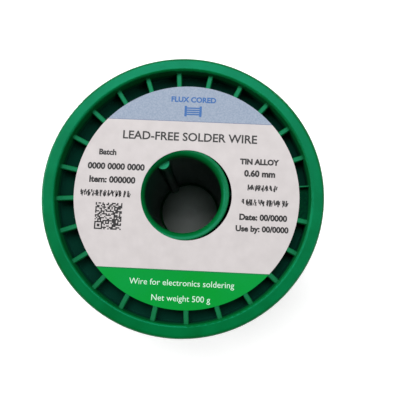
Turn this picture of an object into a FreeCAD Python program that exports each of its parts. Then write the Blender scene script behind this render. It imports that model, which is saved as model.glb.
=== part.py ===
import FreeCAD, Part
import math
import os

import Sketcher
from FreeCAD import Placement, Rotation, Vector

# A spool of cored solder wire, standing on its rear flange with the axis along +Z.
# The origin is on the axis, in the plane of the rear rim. Two identical plastic mouldings meet at
# mid-height, joined by pegs pressed into sockets; the wire is wound on their common barrel, a strip
# of tape holds its free end, and a round paper label is stuck on the front face.

# Driving dimensions: alias, value in millimetres, degrees or a count, and what it measures.
DIMENSIONS = [
    ("flange_dia", 70.0, "outside of both flanges"),
    ("total_height", 52.0, "from rim to rim along the axis"),
    ("flange_depth", 6.5, "rim face to the face that the wire lies against"),
    ("rim_width", 3.35, "radial width of the rim"),
    ("rim_outer_round", 0.9, "rounding of the rim's outer edge"),
    ("rim_inner_round", 0.6, "rounding of the rim's inner edge"),
    ("rim_back_round", 0.8, "rounding of the flange's edge beside the wire"),
    ("face_drop", 1.8, "rib tops, collar and label seat below the rim face"),
    ("pocket_depth", 5.2, "pocket floor below the rim face"),
    ("floor_round", 0.4, "fillet between a pocket's floor and the rim"),
    ("rib_count", 24, "pitches around the flange, one of them taken by the block"),
    ("rib_thick", 1.25, "thickness of one rib"),
    ("rib_bevel", 0.2, "bevel along a rib's top edges"),
    ("rib_phase", 2.06, "angle of the front half about the axis, in degrees"),
    ("block_start", 26.5, "inner radius of the block that fills one pocket"),
    ("block_end_angle", 1.5, "where the block ends, past the missing rib, in degrees"),
    ("block_drop", 1.5, "block's top below the rib tops"),
    ("bead_thick", 0.35, "thin upright edge along the block's end"),
    ("barrel_dia", 34.0, "what the wire is wound on"),
    ("barrel_wall", 1.7, "wall of the barrel"),
    ("barrel_root_round", 0.5, "fillet where barrel and flange meet"),
    ("collar_dia", 23.4, "outside of the tube around the bore"),
    ("collar_round", 0.35, "rounding of the collar's outer edge"),
    ("neck_dia", 19.5, "narrow land at each end of the bore"),
    ("neck_land", 0.8, "length of that land"),
    ("neck_step", 0.6, "slope from the land to the wider bore"),
    ("lead_in", 1.7, "rounded mouth of the bore"),
    ("bore_dia", 20.7, "bore between the two lands"),
    ("lug_radius", 1.65, "half-round key along the bore"),
    ("lug_circle_dia", 19.9, "circle that the key's centre lies on"),
    ("lug_angle", 120.0, "its place in a half's own frame, in degrees"),
    ("end_wall", 1.6, "wall across each half where they meet"),
    ("bite", 0.4, "how far a feature reaches into its neighbour, so that the two join"),
    ("bead_bevel", 0.1, "bevel along the bead's top"),
    ("web_count", 8, "webs between the bore tube and the barrel"),
    ("web_thick", 1.25, "thickness of one web"),
    ("web_drop", 3.0, "web tops below the label seat"),
    ("peg_circle_dia", 27.0, "circle that pegs and sockets lie on"),
    ("peg_dia", 2.2, "joining peg and its socket"),
    ("peg_length", 2.5, "how far a peg stands out"),
    ("peg_bevel", 0.3, "bevel at a peg's tip"),
    ("peg_count", 3, "pegs, and as many sockets, on each half"),
    ("socket_depth", 2.8, "depth of a socket"),
    ("socket_boss_dia", 3.9, "boss around a socket"),
    ("socket_boss_height", 4.2, "height of that boss"),
    ("winding_dia", 64.6, "outside of the wound wire"),
    ("winding_edge", 0.3, "radius of one turn, which rounds the winding's edges"),
    ("tape_width", 12.0, "strip that holds the wire's free end"),
    ("tape_thick", 0.12, "thickness of the strip"),
    ("tape_sweep", 62.0, "angle that the strip covers, in degrees"),
    ("tape_start", -91.0, "where the strip starts, in degrees"),
    ("tape_height", 34.0, "strip's middle above the rear rim"),
    ("label_dia", 56.4, "paper label"),
    ("label_hole_dia", 22.8, "hole in the label"),
    ("label_thick", 0.12, "thickness of the label"),
    ("label_shift_x", 0.9, "label's centre off the axis, along X"),
    ("label_shift_y", -0.25, "label's centre off the axis, along Y"),
    ("label_turn", -2.5, "label turned about its centre, in degrees"),
]

# Heights in a half's own frame: its meeting plane is at zero and its rim is at the top.
RIM = "dims.total_height / 2"
SEAT = f"({RIM} - dims.face_drop)"
POCKET = f"({RIM} - dims.pocket_depth)"
WIRE_SIDE = f"({RIM} - dims.flange_depth)"
LAND_END = f"({SEAT} - dims.lead_in - dims.neck_land)"

# Radii of the round features.
FLANGE_R = "dims.flange_dia / 2"
RIM_INNER_R = f"({FLANGE_R} - dims.rim_width)"
BARREL_R = "dims.barrel_dia / 2"
BARREL_INNER_R = f"({BARREL_R} - dims.barrel_wall)"
COLLAR_R = "dims.collar_dia / 2"
NECK_R = "dims.neck_dia / 2"
BORE_R = "dims.bore_dia / 2"
BITE = "dims.bite"

MATCH = 1e-4
Z_DIRECTION = Vector(0, 0, 1)


def make_sheet(document):
    sheet = document.addObject("Spreadsheet::Sheet", "dims")
    for row, (alias, value, meaning) in enumerate(DIMENSIONS, start=1):
        sheet.set(f"A{row}", meaning)
        sheet.set(f"B{row}", str(value))
        sheet.setAlias(f"B{row}", alias)
    document.recompute()
    return sheet


doc = FreeCAD.newDocument("solder_wire_spool")
dims = make_sheet(doc)


def origin_feature(body, role):
    return next(o for o in body.Origin.OriginFeatures if o.Role == role)


def start_sketch(body, name, plane, lift=None, turn=None):
    """An empty sketch on one of the body's origin planes, lifted along its normal and turned about Z."""
    sketch = body.newObject("Sketcher::SketchObject", name)
    sketch.AttachmentSupport = [(origin_feature(body, plane), "")]
    sketch.MapMode = "FlatFace"
    spin_axis = Vector(0, 0, 1) if plane == "XY_Plane" else Vector(0, 1, 0)
    sketch.AttachmentOffset = Placement(Vector(0, 0, 0), Rotation(spin_axis, 0))
    if lift:
        sketch.setExpression("AttachmentOffset.Base.z", lift)
    if turn:
        sketch.setExpression("AttachmentOffset.Rotation.Angle", turn)
    return sketch


def pin_point(sketch, geometry, end, x, y):
    """Hold a point of the sketch at two expressions, measured from the sketch's origin."""
    seed = sketch.getPoint(geometry, end)
    for kind, axis, expression, value in (
        ("DistanceX", -2, x, seed.x),
        ("DistanceY", -1, y, seed.y),
    ):
        if expression == "0":
            sketch.addConstraint(Sketcher.Constraint("PointOnObject", geometry, end, axis))
            continue
        index = sketch.addConstraint(Sketcher.Constraint(kind, -1, 1, geometry, end, value))
        sketch.setExpression(f"Constraints[{index}]", expression)


def add_outline(sketch, corners):
    """A closed straight-sided outline, one pair of expressions for each corner."""
    count = len(corners)
    seeds = [
        Vector(5 + math.cos(2 * math.pi * i / count), 5 + math.sin(2 * math.pi * i / count), 0)
        for i in range(count)
    ]
    for i in range(count):
        sketch.addGeometry(Part.LineSegment(seeds[i], seeds[(i + 1) % count]), False)
    for i in range(count):
        sketch.addConstraint(Sketcher.Constraint("Coincident", i, 2, (i + 1) % count, 1))
    for i, (x, y) in enumerate(corners):
        pin_point(sketch, i, 1, x, y)


def add_circle(sketch, x, y, radius):
    index = sketch.addGeometry(Part.Circle(Vector(5, 5, 0), Z_DIRECTION, 1), False)
    pin_point(sketch, index, 3, x, y)
    size = sketch.addConstraint(Sketcher.Constraint("Radius", index, 1.0))
    sketch.setExpression(f"Constraints[{size}]", radius)


def finish_feature(body, feature):
    body.Tip = feature
    doc.recompute()
    if "Invalid" in feature.State or feature.Shape.isNull():
        raise RuntimeError(f"{feature.Name} has failed: {feature.State}")
    return feature


def pad(body, name, sketch, length, down=False):
    feature = body.newObject("PartDesign::Pad", name)
    feature.Profile = (sketch, [""])
    feature.Reversed = down
    feature.setExpression("Length", length)
    return finish_feature(body, feature)


def pocket_upward(body, name, sketch, depth):
    before = body.Tip.Shape.Volume
    feature = body.newObject("PartDesign::Pocket", name)
    feature.Profile = (sketch, [""])
    feature.Reversed = True
    feature.setExpression("Length", depth)
    finish_feature(body, feature)
    if feature.Shape.Volume > before - MATCH:
        raise RuntimeError(f"{name} cuts nothing")
    return feature


def revolve(body, name, sketch, angle=None):
    """Turn a sketch about the axis: all the way round, or through an angle from the sketch's plane."""
    feature = body.newObject("PartDesign::Revolution", name)
    feature.Profile = (sketch, [""])
    feature.ReferenceAxis = (origin_feature(body, "Z_Axis"), [""])
    feature.Angle = 360.0
    if angle:
        feature.setExpression("Angle", angle)
    return finish_feature(body, feature)


def around(body, name, original, count, extent="360 deg"):
    feature = body.newObject("PartDesign::PolarPattern", name)
    feature.Originals = [original]
    feature.Axis = (origin_feature(body, "Z_Axis"), [""])
    feature.setExpression("Angle", extent)
    feature.setExpression("Occurrences", count)
    return finish_feature(body, feature)


def circles_at(shape, radius, height):
    """Names of the shape's circular edges of that radius, at that height."""
    names = []
    for number, edge in enumerate(shape.Edges, start=1):
        curve = edge.Curve
        if not isinstance(curve, Part.Circle):
            continue
        if abs(curve.Radius - radius) < MATCH and abs(curve.Center.z - height) < MATCH:
            names.append(f"Edge{number}")
    if not names:
        raise RuntimeError(f"no circular edge of radius {radius} at height {height}")
    return names


def round_edge(body, name, radius, height, size):
    base = body.Tip
    feature = body.newObject("PartDesign::Fillet", name)
    feature.Base = (base, circles_at(base.Shape, radius, height))
    feature.setExpression("Radius", size)
    return finish_feature(body, feature)


def bevel_edge(body, name, radius, height, size):
    base = body.Tip
    feature = body.newObject("PartDesign::Chamfer", name)
    feature.Base = (base, circles_at(base.Shape, radius, height))
    feature.setExpression("Size", size)
    return finish_feature(body, feature)


def turned_half(body):
    """The round part of a half: bore tube, end wall, barrel, pocket floor and rim."""
    sketch = start_sketch(body, "half_section", "XZ_Plane")
    add_outline(
        sketch,
        [
            (BORE_R, "0"),
            (BORE_R, f"{LAND_END} - dims.neck_step"),
            (NECK_R, LAND_END),
            (NECK_R, SEAT),
            (COLLAR_R, SEAT),
            (COLLAR_R, "dims.end_wall"),
            (BARREL_INNER_R, "dims.end_wall"),
            (BARREL_INNER_R, SEAT),
            (BARREL_R, SEAT),
            (BARREL_R, POCKET),
            (RIM_INNER_R, POCKET),
            (RIM_INNER_R, RIM),
            (FLANGE_R, RIM),
            (FLANGE_R, WIRE_SIDE),
            (BARREL_R, WIRE_SIDE),
            (BARREL_R, "0"),
        ],
    )
    revolve(body, "half_turned", sketch)
    rim_z = dims.total_height / 2
    seat_z = rim_z - dims.face_drop
    wire_z = rim_z - dims.flange_depth
    outer_r = dims.flange_dia / 2
    inner_r = outer_r - dims.rim_width
    round_edge(body, "bore_mouth", dims.neck_dia / 2, seat_z, "dims.lead_in")
    round_edge(body, "collar_edge", dims.collar_dia / 2, seat_z, "dims.collar_round")
    round_edge(body, "rim_outer_edge", outer_r, rim_z, "dims.rim_outer_round")
    round_edge(body, "rim_inner_edge", inner_r, rim_z, "dims.rim_inner_round")
    round_edge(body, "rim_back_edge", outer_r, wire_z, "dims.rim_back_round")
    round_edge(body, "barrel_root", dims.barrel_dia / 2, wire_z, "dims.barrel_root_round")
    round_edge(body, "floor_edge", inner_r, rim_z - dims.pocket_depth, "dims.floor_round")


def rib_section(body, name, start, thick, top, bevel, turn):
    """Cross-section of an upright radial wall, from inside the pocket floor up to top."""
    sketch = start_sketch(body, name, "YZ_Plane", lift=start, turn=turn)
    half = f"{thick} / 2"
    foot = f"{POCKET} - {BITE}"
    add_outline(
        sketch,
        [
            (f"-{half}", foot),
            (half, foot),
            (half, f"{top} - {bevel}"),
            (f"{half} - {bevel}", top),
            (f"-{half} + {bevel}", top),
            (f"-{half}", f"{top} - {bevel}"),
        ],
    )
    return sketch


def turned_sketch_offset(sketch, start, turn):
    """Swing a lifted radial section about the body's Z axis, so that it still faces outwards."""
    sketch.setExpression("AttachmentOffset.Base.x", f"{start} * sin({turn})")
    sketch.setExpression("AttachmentOffset.Base.z", f"{start} * cos({turn})")


def add_ribs(body):
    """A rib at every pitch but one, from the barrel to the rim, and a short one behind the block."""
    pitch = "360 deg / dims.rib_count"
    inside = f"({BARREL_R} - {BITE})"
    section = rib_section(
        body, "rib_section", inside, "dims.rib_thick", SEAT, "dims.rib_bevel", pitch
    )
    turned_sketch_offset(section, inside, pitch)
    rib = pad(body, "rib", section, f"{RIM_INNER_R} + {BITE} - {inside}")
    around(body, "ribs", rib, "dims.rib_count - 1", f"360 deg - 2 * {pitch}")
    short = rib_section(
        body, "short_rib_section", inside, "dims.rib_thick", SEAT, "dims.rib_bevel", None
    )
    pad(body, "short_rib", short, f"dims.block_start + {BITE} - {inside}")


def add_block(body):
    """The raised block that fills one pocket at the rim, with a thin upright edge at its end."""
    pitch = "360 deg / dims.rib_count"
    sketch = start_sketch(body, "block_section", "XZ_Plane", turn=f"-{pitch}")
    top = f"{SEAT} - dims.block_drop"
    foot = f"{POCKET} - {BITE}"
    add_outline(
        sketch,
        [
            ("dims.block_start", foot),
            (f"{RIM_INNER_R} + {BITE}", foot),
            (f"{RIM_INNER_R} + {BITE}", top),
            ("dims.block_start", top),
        ],
    )
    revolve(body, "block", sketch, f"{pitch} + dims.block_end_angle * 1 deg")
    turn = "dims.block_end_angle * 1 deg"
    bead = rib_section(
        body, "bead_section", "dims.block_start", "dims.bead_thick", SEAT, "dims.bead_bevel", turn
    )
    turned_sketch_offset(bead, "dims.block_start", turn)
    pad(body, "bead", bead, f"{RIM_INNER_R} + {BITE} - dims.block_start")


def add_lug(body):
    """A round post in the bore tube's wall. It shows in the bore as a half-round key, up to the land."""
    sketch = start_sketch(body, "lug_section", "XY_Plane", turn="dims.lug_angle * 1 deg")
    add_circle(sketch, "dims.lug_circle_dia / 2", "0", "dims.lug_radius")
    pad(body, "lug", sketch, LAND_END)


def add_webs(body):
    """Webs that tie the bore tube to the barrel, deep inside the ring-shaped hollow."""
    sketch = start_sketch(body, "web_section", "YZ_Plane", lift=f"{COLLAR_R} - {BITE}")
    half = "dims.web_thick / 2"
    foot = f"dims.end_wall - {BITE}"
    top = f"{SEAT} - dims.web_drop"
    add_outline(sketch, [(f"-{half}", foot), (half, foot), (half, top), (f"-{half}", top)])
    web = pad(body, "web", sketch, f"{BARREL_INNER_R} - {COLLAR_R} + 2 * {BITE}")
    around(body, "webs", web, "dims.web_count")


def add_joint(body):
    """Three pegs and three sockets that swap places when a half is turned over about its lug."""
    ring = "dims.peg_circle_dia / 2"
    share = "180 deg / dims.peg_count"
    peg_turn = f"dims.lug_angle * 1 deg + {share} / 2"
    socket_turn = f"dims.lug_angle * 1 deg - {share} / 2"

    boss_sketch = start_sketch(body, "socket_boss_section", "XY_Plane", turn=socket_turn)
    add_circle(boss_sketch, ring, "0", "dims.socket_boss_dia / 2")
    boss = pad(body, "socket_boss", boss_sketch, "dims.socket_boss_height")
    around(body, "socket_bosses", boss, "dims.peg_count")

    hole_sketch = start_sketch(body, "socket_section", "XY_Plane", turn=socket_turn)
    add_circle(hole_sketch, ring, "0", "dims.peg_dia / 2")
    hole = pocket_upward(body, "socket", hole_sketch, "dims.socket_depth")
    around(body, "sockets", hole, "dims.peg_count")

    peg_sketch = start_sketch(body, "peg_section", "XY_Plane", turn=peg_turn)
    add_circle(peg_sketch, ring, "0", "dims.peg_dia / 2")
    peg = pad(body, "peg", peg_sketch, "dims.peg_length", down=True)
    around(body, "pegs", peg, "dims.peg_count")
    bevel_edge(body, "peg_tips", dims.peg_dia / 2, -dims.peg_length, "dims.peg_bevel")


def make_half(label):
    body = doc.addObject("PartDesign::Body", label)
    turned_half(body)
    add_webs(body)
    add_ribs(body)
    add_block(body)
    add_lug(body)
    add_joint(body)
    return body


def place_halves(front, rear):
    """The rear half is the front one turned over about the horizontal line through the lug."""
    middle = Vector(0, 0, dims.total_height / 2)
    turn = Rotation(Z_DIRECTION, dims.rib_phase)
    lug_direction = math.radians(dims.rib_phase + dims.lug_angle)
    lug_line = Vector(math.cos(lug_direction), math.sin(lug_direction), 0)
    front.Placement = Placement(middle, turn)
    rear.Placement = Placement(middle, Rotation(lug_line, 180).multiply(turn))


def make_winding():
    """All the turns of wire as one ring between the flanges, its edges as round as one turn."""
    body = doc.addObject("PartDesign::Body", "solder_winding")
    sketch = start_sketch(body, "winding_section", "XZ_Plane")
    outer = "dims.winding_dia / 2"
    root = "dims.barrel_root_round"
    add_outline(
        sketch,
        [
            (BARREL_R, f"-{WIRE_SIDE} + {root}"),
            (f"{BARREL_R} + {root}", f"-{WIRE_SIDE}"),
            (outer, f"-{WIRE_SIDE}"),
            (outer, WIRE_SIDE),
            (f"{BARREL_R} + {root}", WIRE_SIDE),
            (BARREL_R, f"{WIRE_SIDE} - {root}"),
        ],
    )
    revolve(body, "winding", sketch)
    side = dims.total_height / 2 - dims.flange_depth
    round_edge(body, "front_edge", dims.winding_dia / 2, side, "dims.winding_edge")
    round_edge(body, "rear_edge", dims.winding_dia / 2, -side, "dims.winding_edge")
    body.Placement = Placement(Vector(0, 0, dims.total_height / 2), Rotation())
    return body


def make_tape():
    """A strip of tape, curved over the outermost turns where the wire ends."""
    body = doc.addObject("PartDesign::Body", "end_tape")
    sketch = start_sketch(body, "tape_section", "XZ_Plane")
    inner = "dims.winding_dia / 2"
    half = "dims.tape_width / 2"
    add_outline(
        sketch,
        [
            (inner, f"-{half}"),
            (f"{inner} + dims.tape_thick", f"-{half}"),
            (f"{inner} + dims.tape_thick", half),
            (inner, half),
        ],
    )
    revolve(body, "tape", sketch, "dims.tape_sweep * 1 deg")
    body.Placement = Placement(
        Vector(0, 0, dims.tape_height), Rotation(Z_DIRECTION, dims.tape_start)
    )
    return body


def make_label():
    """A paper ring stuck on the rib tops and the collar, a little off centre and turned."""
    body = doc.addObject("PartDesign::Body", "face_label")
    sketch = start_sketch(body, "label_outline", "XY_Plane")
    add_circle(sketch, "0", "0", "dims.label_dia / 2")
    add_circle(sketch, "0", "0", "dims.label_hole_dia / 2")
    pad(body, "label", sketch, "dims.label_thick")
    seat = dims.total_height - dims.face_drop
    body.Placement = Placement(
        Vector(dims.label_shift_x, dims.label_shift_y, seat),
        Rotation(Z_DIRECTION, dims.label_turn),
    )
    return body


def check(document, pieces):
    for item in document.Objects:
        if "Invalid" in item.State or "Error" in item.State:
            raise RuntimeError(f"{item.Name} has failed: {item.State}")
    for piece in pieces:
        if piece.Shape.isNull() or not piece.Shape.isValid():
            raise RuntimeError(f"{piece.Label} has no valid shape")


front_half = make_half("spool_half_front")
rear_half = make_half("spool_half_rear")
place_halves(front_half, rear_half)
pieces = [front_half, rear_half, make_winding(), make_tape(), make_label()]
doc.recompute()
check(doc, pieces)

os.makedirs("parts", exist_ok=True)
for piece in pieces:
    piece.Shape.exportStep(f"parts/{piece.Label}.step")
    box = piece.Shape.BoundBox
    print(
        f"{piece.Label}: {box.XLength:.2f} x {box.YLength:.2f} x {box.ZLength:.2f} mm,"
        f" {piece.Shape.Volume / 1000:.2f} cm3, {len(piece.Shape.Solids)} solid"
    )
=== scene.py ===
import math
import random

import bmesh
import bpy
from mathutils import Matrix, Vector, noise


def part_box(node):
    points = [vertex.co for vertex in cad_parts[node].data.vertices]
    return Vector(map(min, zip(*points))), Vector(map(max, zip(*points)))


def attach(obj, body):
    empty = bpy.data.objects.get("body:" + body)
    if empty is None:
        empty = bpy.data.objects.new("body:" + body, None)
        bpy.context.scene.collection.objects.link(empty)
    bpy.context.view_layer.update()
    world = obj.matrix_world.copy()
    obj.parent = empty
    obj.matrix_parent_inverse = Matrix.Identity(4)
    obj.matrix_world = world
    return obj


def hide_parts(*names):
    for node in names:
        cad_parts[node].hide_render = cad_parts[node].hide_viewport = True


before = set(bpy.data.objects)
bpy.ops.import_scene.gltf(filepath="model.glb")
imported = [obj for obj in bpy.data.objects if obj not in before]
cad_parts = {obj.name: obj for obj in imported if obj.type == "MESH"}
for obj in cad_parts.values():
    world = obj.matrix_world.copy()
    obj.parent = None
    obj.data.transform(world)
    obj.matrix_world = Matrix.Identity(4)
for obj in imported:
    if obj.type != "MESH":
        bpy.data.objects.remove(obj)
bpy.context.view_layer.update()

# A spool of solder wire, standing on its rear rim with the axis along +Z.
# Lengths below are in millimetres and angles in degrees; MM turns them into the frame's metres.
MM = 0.001
BODY = "root"

# What the frame's boxes say.
WINDING_LOW, WINDING_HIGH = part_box("solder_winding")
LABEL_LOW, LABEL_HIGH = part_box("face_label")
SPOOL_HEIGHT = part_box("spool_half_front")[1].z / MM
MIDDLE = SPOOL_HEIGHT / 2

# The wire and how it is wound.
WIRE_DIA = 0.6
WIRE_TURNS = 65
WIRE_PITCH = (WINDING_HIGH.z - WINDING_LOW.z) / MM / WIRE_TURNS
OUTER_LAYER_R = WINDING_HIGH.x / MM - WIRE_DIA / 2
LAYER_STEP = WIRE_DIA * math.cos(math.radians(30))
STEPS_PER_TURN = 90
WIRE_SIDES = 8
WIRE_DRIFT = 0.03
WIRE_SWELL = 0.02

# The tape over the wire's end, how it drapes over the step there, and how far the wire sticks out.
TAPE_HEIGHT = 34.0
TAPE_WIDTH = 12.0
TAPE_START = -91.0
TAPE_END = -29.0
TAPE_THICK = 0.08
TAPE_TEETH = 10
TOOTH_DEPTH = 0.8
DRAPE_OFFSET = 0.4
DRAPE_STEEPNESS = 4
DRAPE_SHARE = 0.8
TAPE_RIPPLE = 0.03
TAPE_WAVE = 0.02
WIRE_TAIL = 4.0

# The label, in its own frame: centred on the label, +Y towards the top of the print.
LABEL_CENTRE = (LABEL_LOW + LABEL_HIGH) / 2 / MM
LABEL_R = (LABEL_HIGH.x - LABEL_LOW.x) / 2 / MM
LABEL_HOLE_R = 11.4
LABEL_TURN = -2.5
LABEL_BASE = LABEL_LOW.z / MM
LABEL_THICK = (LABEL_HIGH.z - LABEL_LOW.z) / MM
LABEL_SAG = 0.02
SAG_EASE = 4.0
BLUE_BAND_Y = 18.95
GREEN_BAND_Y = -18.62
BAND_LINE = 0.14

# The flange's face. The face's drop is measured from the rim, the other two from the rib tops.
RIB_PITCH = 15.0
RIB_PHASE = 2.06
RIM_INNER_R = 31.65
BLOCK_START_R = 26.5
BARREL_R = 17.0
HOLLOW_R = 15.3
COLLAR_R = 11.7
NECK_R = 9.75
FACE_DROP = 1.8
BLOCK_DROP = 1.5
KEY_DROP = 2.5

# The view.
CAMERA_LENS = 38.4
CAMERA_PLACE = (5.79, -15.21, 155.75)
CAMERA_TURN = (7.37, 0.75, 0.16)


class Shade:
    """One procedural material, built node by node around its Principled shader."""

    def __init__(self, name):
        self.material = bpy.data.materials.new(name)
        self.material.use_nodes = True
        self.nodes = self.material.node_tree.nodes
        self.links = self.material.node_tree.links
        self.shader = self.nodes["Principled BSDF"]
        metres = self.nodes.new("ShaderNodeTexCoord").outputs["Object"]
        self.place = self.vector("SCALE", metres, Scale=1 / MM)

    def add(self, kind, inputs, **settings):
        made = self.nodes.new(kind)
        for key, value in settings.items():
            setattr(made, key, value)
        for socket, value in inputs.items():
            self.feed(made.inputs[socket], value)
        return made

    def feed(self, socket, value):
        if isinstance(value, bpy.types.NodeSocket):
            self.links.new(value, socket)
        else:
            socket.default_value = value

    def vector(self, operation, first, second=None, **named):
        inputs = {0: first, **named}
        if second is not None:
            inputs[1] = second
        return self.add("ShaderNodeVectorMath", inputs, operation=operation).outputs["Vector"]

    def maths(self, operation, *values, clamp=False):
        inputs = dict(enumerate(values))
        made = self.add("ShaderNodeMath", inputs, operation=operation, use_clamp=clamp)
        return made.outputs["Value"]

    def noise(self, scale, detail=2.0, roughness=0.5, place=None):
        inputs = {
            "Vector": self.place if place is None else place,
            "Scale": scale,
            "Detail": detail,
            "Roughness": roughness,
        }
        return self.add("ShaderNodeTexNoise", inputs).outputs["Fac"]

    def spread(self, value, low, high, to_low=0.0, to_high=1.0):
        """Map a value from one range to another, and hold it there."""
        inputs = {
            "Value": value,
            "From Min": low,
            "From Max": high,
            "To Min": to_low,
            "To Max": to_high,
        }
        return self.add("ShaderNodeMapRange", inputs).outputs["Result"]

    def mix(self, share, first, second):
        """A colour between two colours."""
        made = self.add("ShaderNodeMix", {0: share, 6: first, 7: second}, data_type="RGBA")
        return made.outputs[2]

    def bump(self, height, distance, strength=1.0, under=None):
        inputs = {"Height": height, "Distance": distance * MM, "Strength": strength}
        if under is not None:
            inputs["Normal"] = under
        return self.add("ShaderNodeBump", inputs).outputs["Normal"]

    def axes(self):
        """Height above the rear rim, and distance from the axis."""
        parts = self.add("ShaderNodeSeparateXYZ", {"Vector": self.place})
        squares = [self.maths("MULTIPLY", parts.outputs[i], parts.outputs[i]) for i in (0, 1)]
        radius = self.maths("SQRT", self.maths("ADD", *squares))
        return parts.outputs[2], radius

    def set(self, **sockets):
        for name, value in sockets.items():
            self.feed(self.shader.inputs[name.replace("_", " ")], value)
        return self.material


def rgb(red, green, blue):
    """A colour given in the screen's 0 to 255, as the shader's linear values."""

    def linear(value):
        share = value / 255
        return share / 12.92 if share <= 0.04045 else ((share + 0.055) / 1.055) ** 2.4

    return (linear(red), linear(green), linear(blue), 1.0)


def green_plastic():
    """Moulded plastic: scuffed on the rib tops, with painted shade in pockets, bore and the mottled
    block, and a painted highlight on the key's top.
    """
    shade = Shade("green_plastic")
    height, radius = shade.axes()
    from_middle = shade.maths("ABSOLUTE", shade.maths("SUBTRACT", height, MIDDLE))

    rib_top = MIDDLE - FACE_DROP
    on_ribs = shade.maths("COMPARE", from_middle, rib_top, 0.12)
    sunk = shade.spread(from_middle, rib_top - 0.3, rib_top - 2.6)
    past_bore = shade.maths("GREATER_THAN", radius, COLLAR_R - 0.1)
    inside_rim = shade.maths("LESS_THAN", radius, RIM_INNER_R + 0.05)
    recess = shade.maths("MULTIPLY", sunk, shade.maths("MULTIPLY", past_bore, inside_rim))
    deep = shade.spread(from_middle, rib_top - 1.4, rib_top - 6.0)
    bore = shade.maths("MULTIPLY", deep, shade.maths("LESS_THAN", radius, COLLAR_R - 0.1))
    on_block = shade.maths("COMPARE", from_middle, rib_top - BLOCK_DROP, 0.2)
    in_pocket = shade.maths(
        "MULTIPLY",
        shade.maths("GREATER_THAN", radius, BLOCK_START_R - 0.1),
        shade.maths("LESS_THAN", radius, RIM_INNER_R),
    )
    block = shade.maths("MULTIPLY", on_block, in_pocket)
    key_top = shade.maths("COMPARE", from_middle, rib_top - KEY_DROP, 0.15)
    on_key = shade.maths("MULTIPLY", key_top, shade.maths("LESS_THAN", radius, NECK_R - 0.01))

    clouds = shade.noise(0.18, detail=3.0)
    grain = shade.noise(5.0, detail=3.0, roughness=0.6)
    mottle = shade.noise(1.3, detail=3.0, roughness=0.65)
    scuffs = shade.noise(1.1, detail=4.0, roughness=0.7)

    green = rgb(0, 92, 36)
    fresh_green = rgb(0, 102, 46)
    scuffed_green = rgb(26, 104, 60)
    painted_shade_green = rgb(6, 38, 26)
    block_painted_shade_green = rgb(0, 36, 12)
    block_painted_shade_bloom = rgb(2, 52, 20)
    painted_light_green = rgb(34, 134, 84)
    colour = shade.mix(shade.spread(clouds, 0.35, 0.65), green, fresh_green)
    scuffed = shade.maths("MULTIPLY", on_ribs, shade.spread(scuffs, 0.3, 0.62, 0.45, 0.95))
    colour = shade.mix(scuffed, colour, scuffed_green)
    # Painted shade: the pockets and the bore turn dark green the deeper they lie.
    colour = shade.mix(shade.maths("MAXIMUM", recess, bore), colour, painted_shade_green)
    # Painted shade darkens the block, which is mottled between two dark greens.
    mottled = shade.mix(shade.spread(mottle, 0.42, 0.62), block_painted_shade_green, block_painted_shade_bloom)
    colour = shade.mix(block, colour, mottled)
    # Painted light: the key's top is coloured pale, as if lit.
    colour = shade.mix(on_key, colour, painted_light_green)

    rough = shade.spread(grain, 0.3, 0.7, 0.35, 0.45)
    rough = shade.maths("ADD", rough, shade.maths("MULTIPLY", scuffed, 0.15))
    textured = shade.maths("MAXIMUM", recess, block)
    rough = shade.maths("ADD", rough, shade.maths("MULTIPLY", textured, 0.5), clamp=True)
    normal = shade.bump(clouds, 0.35, 0.25)
    normal = shade.bump(grain, 0.02, 0.35, under=normal)
    uneven = shade.maths("MULTIPLY", mottle, block)
    normal = shade.bump(uneven, 0.3, 0.5, under=normal)
    return shade.set(
        Base_Color=colour,
        Roughness=rough,
        Normal=normal,
        Specular_IOR_Level=0.5,
        Specular_Tint=(0.06, 1.0, 0.74, 1.0),
    )


def solder():
    """Drawn tin alloy wire: satin metal, a little duller in places, with a trace of flux."""
    shade = Shade("solder_wire")
    bright = rgb(188, 190, 190)
    dull = rgb(146, 148, 150)
    flux = rgb(190, 176, 140)
    patches = shade.noise(0.12, detail=4.0, roughness=0.6)
    along_wire = shade.vector("MULTIPLY", shade.place, (0.25, 0.25, 3.0))
    streaks = shade.noise(2.2, detail=3.0, place=along_wire)
    spots = shade.noise(0.9, detail=2.0)
    colour = shade.mix(shade.spread(patches, 0.35, 0.65), bright, dull)
    colour = shade.mix(shade.spread(streaks, 0.3, 0.7, 0.0, 0.35), colour, dull)
    colour = shade.mix(shade.spread(spots, 0.66, 0.74, 0.0, 0.5), colour, flux)
    rough = shade.spread(streaks, 0.3, 0.7, 0.24, 0.42)
    normal = shade.bump(streaks, 0.02, 0.3)
    return shade.set(Base_Color=colour, Metallic=1.0, Roughness=rough, Normal=normal)


def paper(name, colour, darker, cloud_scale=0.35, gloss=0.2):
    """Coated label paper printed in one colour, with its fibres just showing."""
    shade = Shade(name)
    fibres = shade.noise(3.5, detail=4.0, roughness=0.65)
    clouds = shade.noise(cloud_scale, detail=3.0)
    print_colour = shade.mix(shade.spread(clouds, 0.3, 0.7), colour, darker)
    print_colour = shade.mix(shade.spread(fibres, 0.5, 0.8, 0.0, 0.35), print_colour, darker)
    rough = shade.spread(fibres, 0.3, 0.7, 0.42, 0.56)
    normal = shade.bump(fibres, 0.012, 0.3)
    return shade.set(Base_Color=print_colour, Roughness=rough, Normal=normal, Specular_IOR_Level=gloss)


def ink(name, colour, faded):
    """Printed ink, a little thin in places."""
    shade = Shade(name)
    thin = shade.noise(4.0, detail=3.0, roughness=0.6)
    return shade.set(
        Base_Color=shade.mix(shade.spread(thin, 0.45, 0.75, 0.0, 0.5), colour, faded),
        Roughness=0.5,
    )


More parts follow.
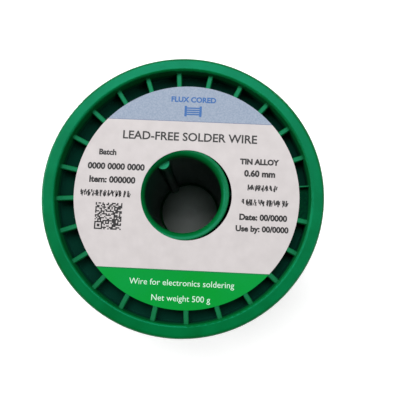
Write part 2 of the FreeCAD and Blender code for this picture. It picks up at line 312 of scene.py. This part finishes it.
def clear_tape():
    """Matte adhesive tape that lets the wire under it show."""
    shade = Shade("clear_tape")
    haze = shade.noise(0.8, detail=3.0)
    bubbles = shade.noise(2.6, detail=2.0)
    colour = shade.mix(shade.spread(haze, 0.3, 0.7), rgb(226, 224, 208), rgb(212, 206, 182))
    normal = shade.bump(bubbles, 0.05, 0.35)
    rough = shade.spread(haze, 0.3, 0.7, 0.22, 0.36)
    return shade.set(Base_Color=colour, Roughness=rough, Normal=normal, Alpha=0.2)


def pale_floor():
    """A floor that glows towards its edges, with a painted shadow under the spool and a faint painted
    glow inside the bore.
    """
    shade = Shade("pale_floor")
    tone = shade.noise(0.01, detail=2.0)
    radius = shade.axes()[1]
    under_spool_r = 34.5
    clear_of_spool = shade.maths("GREATER_THAN", radius, under_spool_r)
    glow = shade.maths("MULTIPLY", clear_of_spool, shade.spread(radius, 100.0, 420.0, 0.4, 1.0))
    # Painted light: the floor glows faintly inside the bore, brightest at the axis.
    glow = shade.maths("ADD", glow, shade.spread(radius, 0.0, 9.5, 0.021, 0.002))
    under_spool = shade.maths("LESS_THAN", radius, under_spool_r)
    # Painted shadow under the spool, darkening outwards from near the axis.
    painted_shadow = shade.maths("MULTIPLY", under_spool, shade.spread(radius, 2.0, 10.5, 0.0, 0.9))
    colour = shade.mix(shade.spread(tone, 0.3, 0.7), rgb(250, 250, 250), rgb(247, 247, 247))
    colour = shade.mix(painted_shadow, colour, rgb(170, 180, 174))
    return shade.set(
        Base_Color=colour,
        Roughness=0.9,
        Emission_Color=(1, 1, 1, 1),
        Emission_Strength=glow,
    )


def make_piece(name, vertices, faces, materials, smooth=True):
    """A mesh object whose vertices are given in millimetres."""
    mesh = bpy.data.meshes.new(name)
    mesh.from_pydata([Vector(v) * MM for v in vertices], [], faces)
    for material in materials:
        mesh.materials.append(material)
    mesh.polygons.foreach_set("use_smooth", [smooth] * len(mesh.polygons))
    mesh.update()
    piece = bpy.data.objects.new(name, mesh)
    bpy.context.scene.collection.objects.link(piece)
    return piece


def polar(radius, degrees, height):
    angle = math.radians(degrees)
    return (radius * math.cos(angle), radius * math.sin(angle), height)


def wound_line(radius, low, start, turns, rise, seed):
    """Centre of a wire wound on one layer, wandering a little as a machine lays it."""
    line = []
    count = int(turns * STEPS_PER_TURN)
    for i in range(count + 1):
        turn = i / STEPS_PER_TURN
        drift = noise.noise(Vector((turn * 0.9, seed, 0.0)))
        swell = noise.noise(Vector((turn * 1.7, seed, 7.0)))
        height = low + rise * turn + WIRE_DRIFT * drift
        line.append(polar(radius + WIRE_SWELL * swell, start + 360 * turn, height))
    return line


def tube(line, radius, sides):
    """Vertices and faces of a closed round tube along a line that runs mostly around the axis."""
    vertices, faces = [], []
    for i, point in enumerate(line):
        here = Vector(point)
        ahead = Vector(line[min(i + 1, len(line) - 1)])
        behind = Vector(line[max(i - 1, 0)])
        along = (ahead - behind).normalized()
        outward = Vector((here.x, here.y, 0)).normalized()
        across = along.cross(outward).normalized()
        for side in range(sides):
            angle = 2 * math.pi * side / sides
            vertices.append(here + radius * (math.cos(angle) * outward + math.sin(angle) * across))
    for i in range(len(line) - 1):
        for side in range(sides):
            a = i * sides + side
            b = i * sides + (side + 1) % sides
            faces.append((a, b, b + sides, a + sides))
    last = (len(line) - 1) * sides
    faces.append(tuple(range(sides))[::-1])
    faces.append(tuple(last + side for side in range(sides)))
    return vertices, faces


def make_wire(material):
    """The outermost layer, which stops at the tape, and two whole layers under it."""
    low = WINDING_LOW.z / MM + WIRE_DIA / 2
    tail_end = TAPE_END + WIRE_TAIL
    turns = round((TAPE_HEIGHT - low) / WIRE_PITCH)
    layers = [
        ("wire_outer_layer", OUTER_LAYER_R, low, tail_end - 360 * turns, turns),
        ("wire_second_layer", OUTER_LAYER_R - LAYER_STEP, low + WIRE_PITCH / 2, 40.0, WIRE_TURNS - 2),
        ("wire_third_layer", OUTER_LAYER_R - 2 * LAYER_STEP, low, 150.0, WIRE_TURNS - 1),
    ]
    pieces = []
    for seed, (name, radius, start_height, start, count) in enumerate(layers):
        line = wound_line(radius, start_height, start, count, WIRE_PITCH, seed)
        vertices, faces = tube(line, WIRE_DIA / 2, WIRE_SIDES)
        pieces.append(make_piece(name, vertices, faces, [material]))
    return pieces


def make_tape(material):
    """A strip with toothed ends, which drapes over the step where the outermost layer stops."""
    columns, rows = 96, 48
    outer = OUTER_LAYER_R + WIRE_DIA / 2
    vertices, faces = [], []
    for lift in (0.0, TAPE_THICK):
        for j in range(rows + 1):
            across = j / rows
            height = TAPE_HEIGHT + TAPE_WIDTH * (across - 0.5)
            tooth = abs((across * TAPE_TEETH) % 1 - 0.5) * 2 * TOOTH_DEPTH
            step = 1 / (1 + math.exp(-(height - TAPE_HEIGHT - DRAPE_OFFSET) * DRAPE_STEEPNESS))
            ripple = TAPE_RIPPLE * math.cos(2 * math.pi * (height - TAPE_HEIGHT) / WIRE_PITCH)
            radius = outer - LAYER_STEP * step * DRAPE_SHARE + ripple - TAPE_RIPPLE
            for i in range(columns + 1):
                start = TAPE_START + tooth
                end = TAPE_END - tooth
                angle = start + (end - start) * i / columns
                wave = TAPE_WAVE * noise.noise(Vector((angle * 0.2, height * 0.4, 3.0)))
                vertices.append(polar(radius + wave + lift, angle, height))
    stride = columns + 1
    sheet = stride * (rows + 1)
    for j in range(rows):
        for i in range(columns):
            a = j * stride + i
            quad = (a, a + 1, a + 1 + stride, a + stride)
            faces.append(quad[::-1])
            faces.append(tuple(v + sheet for v in quad))
    for i in range(columns):
        faces.append((i, i + 1, i + 1 + sheet, i + sheet))
        top = rows * stride + i
        faces.append((top + 1, top, top + sheet, top + 1 + sheet))
    for j in range(rows):
        left = j * stride
        right = left + columns
        faces.append((left + stride, left, left + sheet, left + stride + sheet))
        faces.append((right, right + stride, right + stride + sheet, right + sheet))
    return make_piece("wire_end_tape", vertices, faces, [material])


def paper_sag(x, y):
    """How far the label sinks between the ribs and over the hollow, in the spool's own frame."""
    radius = math.hypot(x, y)
    degrees = math.degrees(math.atan2(y, x))
    if radius > BARREL_R:
        between_ribs = 0.5 - 0.5 * math.cos(2 * math.pi * (degrees - RIB_PHASE) / RIB_PITCH)
        return LABEL_SAG * between_ribs * min(1.0, (radius - BARREL_R) / SAG_EASE)
    if COLLAR_R < radius < HOLLOW_R:
        return LABEL_SAG * math.sin(math.pi * (radius - COLLAR_R) / (HOLLOW_R - COLLAR_R))
    return 0.0


def on_label(u, v, lift):
    """A place on the label's upper face, from its own coordinates."""
    turn = math.radians(LABEL_TURN)
    x = LABEL_CENTRE.x + u * math.cos(turn) - v * math.sin(turn)
    y = LABEL_CENTRE.y + u * math.sin(turn) + v * math.cos(turn)
    return (x, y, LABEL_BASE + LABEL_THICK - paper_sag(x, y) + lift)


def is_round(edge, radius):
    """True for a boundary edge of the label that lies on that circle."""
    middle = (edge.verts[0].co + edge.verts[1].co) / 2
    distance = math.hypot(middle.x - LABEL_CENTRE.x, middle.y - LABEL_CENTRE.y)
    return abs(distance - radius) < 0.5


def make_label(white, blue, green, blue_line, green_line):
    """The paper ring, printed in three bands with a thin line along each boundary."""
    columns, rows = 288, 24
    flat = bmesh.new()
    rings = []
    for j in range(rows + 1):
        radius = LABEL_HOLE_R + (LABEL_R - LABEL_HOLE_R) * j / rows
        ring = [flat.verts.new(polar(radius, 360 * i / columns, 0)) for i in range(columns)]
        rings.append(ring)
    for inner, outer in zip(rings, rings[1:]):
        for i in range(columns):
            k = (i + 1) % columns
            flat.faces.new((inner[i], outer[i], outer[k], inner[k]))
    cuts = [BLUE_BAND_Y, BLUE_BAND_Y - BAND_LINE, GREEN_BAND_Y, GREEN_BAND_Y - 2 * BAND_LINE]
    for cut in cuts:
        everything = flat.verts[:] + flat.edges[:] + flat.faces[:]
        bmesh.ops.bisect_plane(flat, geom=everything, plane_co=(0, cut, 0), plane_no=(0, 1, 0))
    for face in flat.faces:
        y = face.calc_center_median().y
        band = sum(y < cut for cut in cuts)
        face.material_index = (1, 3, 0, 4, 2)[band]
    copied = bmesh.ops.duplicate(flat, geom=flat.verts[:] + flat.edges[:] + flat.faces[:])
    lower = [item for item in copied["geom"] if isinstance(item, bmesh.types.BMFace)]
    for face in lower:
        face.normal_flip()
        face.material_index = 0
    lower_verts = {vertex for face in lower for vertex in face.verts}
    for vertex in flat.verts:
        lift = -LABEL_THICK if vertex in lower_verts else 0.0
        vertex.co = on_label(vertex.co.x, vertex.co.y, lift)
    edges = [edge for edge in flat.edges if edge.is_boundary]
    bmesh.ops.bridge_loops(flat, edges=[e for e in edges if is_round(e, LABEL_R)])
    bmesh.ops.bridge_loops(flat, edges=[e for e in edges if is_round(e, LABEL_HOLE_R)])
    bmesh.ops.scale(flat, vec=(MM, MM, MM), verts=flat.verts)
    mesh = bpy.data.meshes.new("paper_label")
    flat.to_mesh(mesh)
    flat.free()
    for material in (white, blue, green, blue_line, green_line):
        mesh.materials.append(material)
    piece = bpy.data.objects.new("paper_label", mesh)
    bpy.context.scene.collection.objects.link(piece)
    return piece


# Words on the label: text, place, height of its capitals, and how much bolder than regular.
BLACK_WORDS = [
    ("LEAD-FREE SOLDER WIRE", (0.15, 14.7), 2.2, 0.02),
    ("Batch", (-20.4, 10.0), 1.45, 0.045),
    ("0000 0000 0000", (-18.0, 6.35), 1.6, 0.045),
    ("Item: 000000", (-18.8, 2.95), 1.6, 0.045),
    ("TIN ALLOY", (18.0, 9.0), 1.4, 0.055),
    ("0.60 mm", (18.2, 6.0), 1.6, 0.05),
    ("Date: 00/0000", (19.3, -5.0), 1.5, 0.045),
    ("Use by: 00/0000", (19.1, -7.85), 1.45, 0.045),
]
BLUE_WORDS = [("FLUX CORED", (0.7, 24.6), 1.4, 0.04)]
WHITE_WORDS = [
    ("Wire for electronics soldering", (0.0, -21.8), 1.52, -0.002),
    ("Net weight 500 g", (-0.1, -25.5), 1.5, -0.002),
]
# Rows of print too smudged to read: place, length and height.
SMUDGED_ROWS = [
    ((-20.0, -0.55), 13.2, 1.75),
    ((18.9, 2.4), 7.4, 1.65),
    ((19.9, -1.3), 11.8, 1.75),
]
SIGN_CENTRE = (0.7, 21.6)
CODE_CENTRE = (-19.1, -6.2)
CODE_SIZE = 6.7
PRINT_THICK = 0.02


def word_shapes(words, place, capital, bolder):
    """A line of lettering as filled outlines, in the label's own coordinates."""
    curve = bpy.data.curves.new("words", type="FONT")
    curve.body = words
    curve.align_x = "CENTER"
    curve.align_y = "CENTER"
    curve.resolution_u = 3
    curve.offset = bolder
    holder = bpy.data.objects.new("words", curve)
    bpy.context.scene.collection.objects.link(holder)
    graph = bpy.context.evaluated_depsgraph_get()
    mesh = bpy.data.meshes.new_from_object(holder.evaluated_get(graph))
    capital_share = 0.73
    size = capital / capital_share
    vertices = [(place[0] + size * v.co.x, place[1] + size * v.co.y) for v in mesh.vertices]
    faces = [tuple(polygon.vertices) for polygon in mesh.polygons]
    bpy.data.objects.remove(holder)
    bpy.data.meshes.remove(mesh)
    bpy.data.curves.remove(curve)
    return vertices, faces


def stroke(start, end, width):
    """A straight pen stroke as one quadrilateral."""
    a, b = Vector(start), Vector(end)
    side = (b - a).orthogonal().normalized() * width / 2
    return [tuple(a - side), tuple(b - side), tuple(b + side), tuple(a + side)], [(0, 1, 2, 3)]


def smudged_row(centre, length, height, dice):
    """A row of print too smudged to read: random short strokes, letter by letter."""
    shapes = []
    letter_share, strokes = 0.56, 4
    letter = height * letter_share
    cells = int(length / letter)
    low, middle, high = (centre[1] + share * height for share in (-0.5, 0.0, 0.5))
    for cell in range(cells):
        left = centre[0] - length / 2 + cell * letter
        stem = (left + dice.uniform(0.0, 0.3), dice.choice((low, middle)) + dice.uniform(0.0, 0.2))
        top = (stem[0] + dice.uniform(-0.15, 0.2), high)
        shapes.append(stroke(stem, top, dice.uniform(0.24, 0.38)))
        for _ in range(strokes):
            start = (left + dice.uniform(0.1, 0.7), dice.uniform(low, middle))
            end = (start[0] + dice.uniform(-0.4, 0.5), dice.uniform(middle, high))
            shapes.append(stroke(start, end, dice.uniform(0.14, 0.3)))
    return shapes


def reel_sign(centre):
    """A plain picture of a reel from the side: two flanges with rows of wire between them."""
    x, y = centre
    flange_side, flange_half, flange_thick = 1.9, 1.4, 0.6
    row_half, row_thick = 1.7, 0.34
    shapes = []
    for side in (-flange_side, flange_side):
        shapes.append(stroke((x + side, y - flange_half), (x + side, y + flange_half), flange_thick))
    for rise in (-0.84, -0.28, 0.28, 0.84):
        shapes.append(stroke((x - row_half, y + rise), (x + row_half, y + rise), row_thick))
    return shapes


def square(left, low, size):
    corners = [(left, low), (left + size, low), (left + size, low + size), (left, low + size)]
    return corners, [(0, 1, 2, 3)]


def code_square(centre, size, dice):
    """A block of random modules with one framed corner. It carries no data."""
    count, corner, fill = 20, 6, 0.6
    module = size / count
    left, low = centre[0] - size / 2, centre[1] - size / 2
    shapes = []
    for row in range(count):
        for column in range(count):
            if row < corner and column < corner:
                on_frame = row in (0, corner - 1) or column in (0, corner - 1)
                filled = on_frame or (row in (2, 3) and column in (2, 3))
            else:
                filled = dice.random() < fill
            if filled:
                shapes.append(square(left + column * module, low + row * module, module))
    return shapes


def make_print(name, shapes, material):
    """Every shape of one ink as a thin closed layer on the label."""
    vertices, faces = [], []
    for outline, polygons in shapes:
        first = len(vertices)
        vertices += [on_label(u, v, PRINT_THICK) for u, v in outline]
        faces += [tuple(first + i for i in polygon) for polygon in polygons]
    return make_piece(name, vertices, faces, [material], smooth=False)


def make_prints(black, blue, white):
    dice = random.Random(11)
    black_shapes = [word_shapes(*line) for line in BLACK_WORDS]
    for place, length, height in SMUDGED_ROWS:
        black_shapes += smudged_row(place, length, height, dice)
    black_shapes += code_square(CODE_CENTRE, CODE_SIZE, dice)
    blue_shapes = [word_shapes(*line) for line in BLUE_WORDS] + reel_sign(SIGN_CENTRE)
    return [
        make_print("print_black", black_shapes, black),
        make_print("print_blue", blue_shapes, blue),
        make_print("print_white", [word_shapes(*line) for line in WHITE_WORDS], white),
    ]


def make_floor(material):
    half = 600.0
    corners = [(-half, -half, 0), (half, -half, 0), (half, half, 0), (-half, half, 0)]
    floor = make_piece("floor", corners, [(0, 1, 2, 3)], [material])


# Soft lights round the spool: direction and height as angles, and power in watts.
LIGHTS = [
    ("left_window", 168, 30, 3.0),
    ("right_fill", 345, 48, 1.5),
    ("back_left", 122, 56, 1.7),
    ("back", 90, 65, 2.6),
    ("back_right", 38, 55, 0.9),
]
LIGHT_DISTANCE = 780.0
LIGHT_SIZE = 420.0


def add_light(name, azimuth, elevation, power):
    """A square soft light that faces the middle of the spool."""
    lamp = bpy.data.lights.new(name, type="AREA")
    lamp.size = LIGHT_SIZE * MM
    lamp.energy = power
    reach = LIGHT_DISTANCE * math.cos(math.radians(elevation))
    rise = LIGHT_DISTANCE * math.sin(math.radians(elevation))
    place = Vector(polar(reach, azimuth, MIDDLE + rise))
    aim = Vector((0, 0, MIDDLE)) - place
    holder = bpy.data.objects.new(name, lamp)
    holder.location = place * MM
    holder.rotation_euler = aim.to_track_quat("-Z", "Y").to_euler()
    holder.visible_camera = False
    bpy.context.scene.collection.objects.link(holder)


def set_surroundings():
    """A pale studio behind everything, which adds little light of its own."""
    seen_level, lighting_level = 1.0, 0.06
    world = bpy.data.worlds.new("surroundings")
    world.use_nodes = True
    tree = world.node_tree
    background = tree.nodes["Background"]
    background.inputs["Color"].default_value = (1, 1, 1, 1)
    path = tree.nodes.new("ShaderNodeLightPath")
    level = tree.nodes.new("ShaderNodeMapRange")
    level.inputs["To Min"].default_value = lighting_level
    level.inputs["To Max"].default_value = seen_level
    tree.links.new(path.outputs["Is Camera Ray"], level.inputs["Value"])
    tree.links.new(level.outputs["Result"], background.inputs["Strength"])
    bpy.context.scene.world = world
    bpy.context.scene.view_settings.view_transform = "Standard"


def set_camera():
    camera = bpy.data.cameras.new("camera")
    camera.lens = CAMERA_LENS
    camera.sensor_width = 36.0
    camera.clip_start = 0.01
    holder = bpy.data.objects.new("camera", camera)
    holder.location = Vector(CAMERA_PLACE) * MM
    holder.rotation_euler = [math.radians(degrees) for degrees in CAMERA_TURN]
    bpy.context.scene.collection.objects.link(holder)
    bpy.context.scene.camera = holder


def dress_nodes(material, *names):
    for name in names:
        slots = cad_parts[name].data.materials
        slots.clear()
        slots.append(material)


set_camera()
set_surroundings()
for light in LIGHTS:
    add_light(*light)
make_floor(pale_floor())

dress_nodes(green_plastic(), "spool_half_front", "spool_half_rear")

wire_layers = make_wire(solder())
for layer in wire_layers:
    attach(layer, BODY)
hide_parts("solder_winding")

tape = make_tape(clear_tape())
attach(tape, BODY)
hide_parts("end_tape")

label = make_label(
    paper("paper_white", rgb(206, 200, 200), rgb(199, 193, 193)),
    paper("paper_blue", rgb(157, 168, 186), rgb(136, 151, 172), cloud_scale=2.4),
    paper("paper_green", rgb(0, 146, 40), rgb(6, 146, 68), cloud_scale=0.05, gloss=0.06),
    paper("paper_blue_line", rgb(86, 98, 128), rgb(132, 142, 166), cloud_scale=2.4),
    paper("paper_green_line", rgb(0, 112, 60), rgb(0, 128, 66)),
)
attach(label, BODY)
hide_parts("face_label")

prints = make_prints(
    ink("ink_black", rgb(6, 5, 8), rgb(26, 24, 28)),
    ink("ink_blue", rgb(0, 88, 158), rgb(20, 106, 174)),
    ink("ink_white", rgb(214, 242, 226), rgb(176, 228, 198)),
)
for layer in prints:
    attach(layer, BODY)
